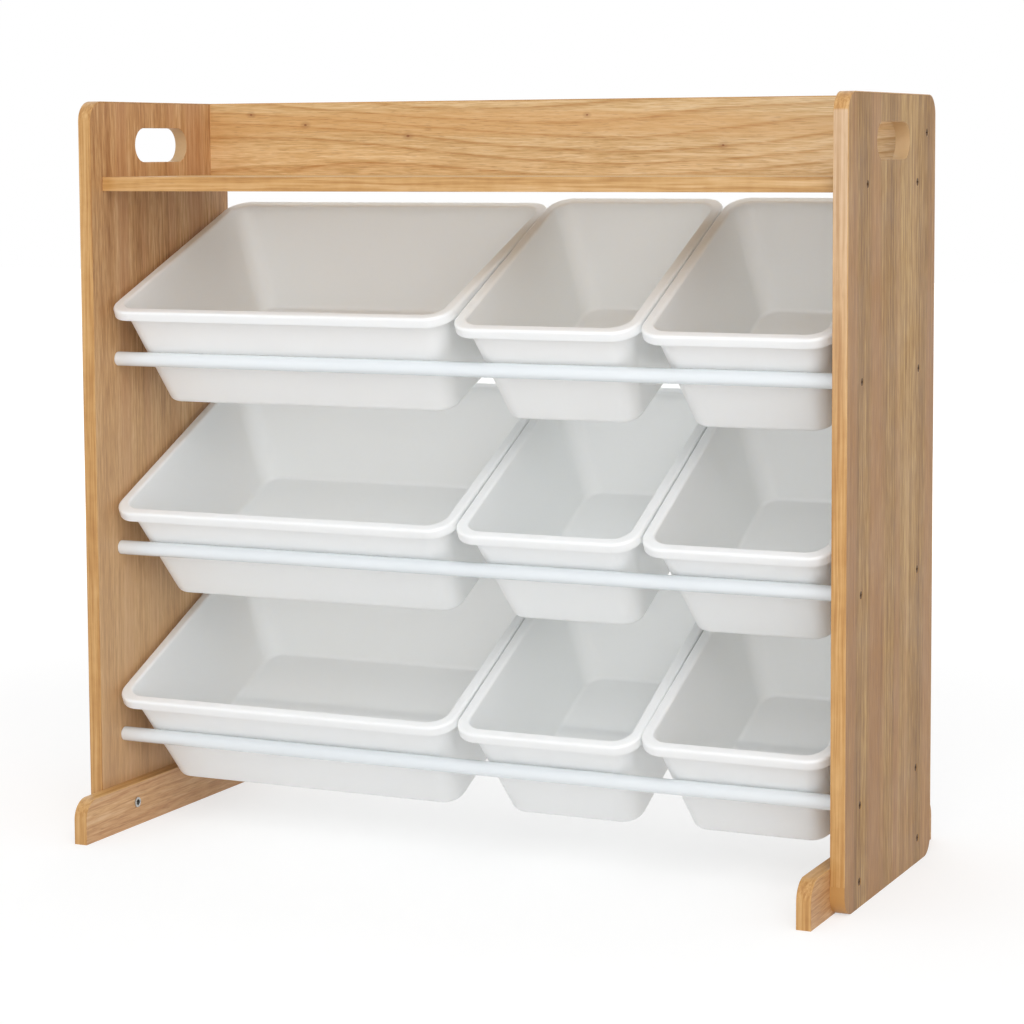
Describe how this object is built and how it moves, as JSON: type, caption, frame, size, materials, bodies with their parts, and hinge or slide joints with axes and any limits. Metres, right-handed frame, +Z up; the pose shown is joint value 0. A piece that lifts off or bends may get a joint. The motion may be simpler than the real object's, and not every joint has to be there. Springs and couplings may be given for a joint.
{
  "type": "toy storage organizer with bins",
  "caption": "Low wood-look rack with a railed top shelf, hand slots and ski feet, holding large and small white plastic bins that lean on pairs of milky rods.",
  "frame": {"origin": "on the floor, at the centre of the footprint: midway between the side panels and midway between the feet's front and rear ends", "axes": "+X to the right seen from the front, +Y to the back, +Z up"},
  "size_m": [0.856, 0.3886, 0.788],
  "materials": {
    "wood_laminate": "satin wood-grain laminate",
    "edge_band": "satin wood-print edge banding",
    "bin_plastic": "semi-gloss moulded polypropylene",
    "rod_plastic": "milky translucent extruded sleeve",
    "tube_steel": "plain steel",
    "plug_plastic": "moulded nylon",
    "dowel_wood": "raw beech",
    "screw_steel": "bronzed steel"
  },
  "bodies": {
    "frame": {"back_rail": "wood_laminate", "back_rail_edge_band": "edge_band", "foot_bolts_left": "screw_steel", "foot_bolts_right": "screw_steel", "foot_left": "wood_laminate", "foot_left_edge_band": "edge_band", "foot_nuts_left": "screw_steel", "foot_nuts_right": "screw_steel", "foot_right": "wood_laminate", "foot_right_edge_band": "edge_band", "rail_dowels": "dowel_wood", "rail_screws_left": "screw_steel", "rail_screws_right": "screw_steel", "rod_end_plugs_left": "plug_plastic", "rod_end_plugs_right": "plug_plastic", "rod_screws_left": "screw_steel", "rod_screws_right": "screw_steel", "rod_sleeve_front_bottom": "rod_plastic", "rod_sleeve_front_middle": "rod_plastic", "rod_sleeve_front_top": "rod_plastic", "rod_sleeve_rear_bottom": "rod_plastic", "rod_sleeve_rear_middle": "rod_plastic", "rod_sleeve_rear_top": "rod_plastic", "rod_tube_front_bottom": "tube_steel", "rod_tube_front_middle": "tube_steel", "rod_tube_front_top": "tube_steel", "rod_tube_rear_bottom": "tube_steel", "rod_tube_rear_middle": "tube_steel", "rod_tube_rear_top": "tube_steel", "shelf_dowels": "dowel_wood", "shelf_screws_left": "screw_steel", "shelf_screws_right": "screw_steel", "side_panel_left": "wood_laminate", "side_panel_left_edge_band": "edge_band", "side_panel_right": "wood_laminate", "side_panel_right_edge_band": "edge_band", "top_shelf": "wood_laminate", "top_shelf_edge_band": "edge_band"},
    "bin_large_top": {"bin_large_top": "bin_plastic"},
    "bin_small_top_middle": {"bin_small_top_middle": "bin_plastic"},
    "bin_small_top_right": {"bin_small_top_right": "bin_plastic"},
    "bin_large_middle": {"bin_large_middle": "bin_plastic"},
    "bin_small_middle_middle": {"bin_small_middle_middle": "bin_plastic"},
    "bin_small_middle_right": {"bin_small_middle_right": "bin_plastic"},
    "bin_large_bottom": {"bin_large_bottom": "bin_plastic"},
    "bin_small_bottom_middle": {"bin_small_bottom_middle": "bin_plastic"},
    "bin_small_bottom_right": {"bin_small_bottom_right": "bin_plastic"}
  },
  "joints": [
    {"name": "bin_large_top_tip", "type": "hinge", "parent": "frame", "child": "bin_large_top", "pos_m": [-0.2049, 0.0877, 0.51175], "axis": [-1, 0, 0], "range_deg": [0, 22]},
    {"name": "bin_small_top_middle_tip", "type": "hinge", "parent": "frame", "child": "bin_small_top_middle", "pos_m": [0.1009, 0.0877, 0.51175], "axis": [-1, 0, 0], "range_deg": [0, 25]},
    {"name": "bin_small_top_right_tip", "type": "hinge", "parent": "frame", "child": "bin_small_top_right", "pos_m": [0.3058, 0.0877, 0.51175], "axis": [-1, 0, 0], "range_deg": [0, 26]},
    {"name": "bin_large_middle_tip", "type": "hinge", "parent": "frame", "child": "bin_large_middle", "pos_m": [-0.2049, 0.0877, 0.30618], "axis": [-1, 0, 0], "range_deg": [0, 25]},
    {"name": "bin_small_middle_middle_tip", "type": "hinge", "parent": "frame", "child": "bin_small_middle_middle", "pos_m": [0.1009, 0.0877, 0.30618], "axis": [-1, 0, 0], "range_deg": [0, 27]},
    {"name": "bin_small_middle_right_tip", "type": "hinge", "parent": "frame", "child": "bin_small_middle_right", "pos_m": [0.3058, 0.0877, 0.30618], "axis": [-1, 0, 0], "range_deg": [0, 27]},
    {"name": "bin_large_bottom_tip", "type": "hinge", "parent": "frame", "child": "bin_large_bottom", "pos_m": [-0.2049, 0.0877, 0.1006], "axis": [-1, 0, 0], "range_deg": [0, 25]},
    {"name": "bin_small_bottom_middle_tip", "type": "hinge", "parent": "frame", "child": "bin_small_bottom_middle", "pos_m": [0.1009, 0.0877, 0.1006], "axis": [-1, 0, 0], "range_deg": [0, 26]},
    {"name": "bin_small_bottom_right_tip", "type": "hinge", "parent": "frame", "child": "bin_small_bottom_right", "pos_m": [0.3058, 0.0877, 0.1006], "axis": [-1, 0, 0], "range_deg": [0, 24]}
  ]
}
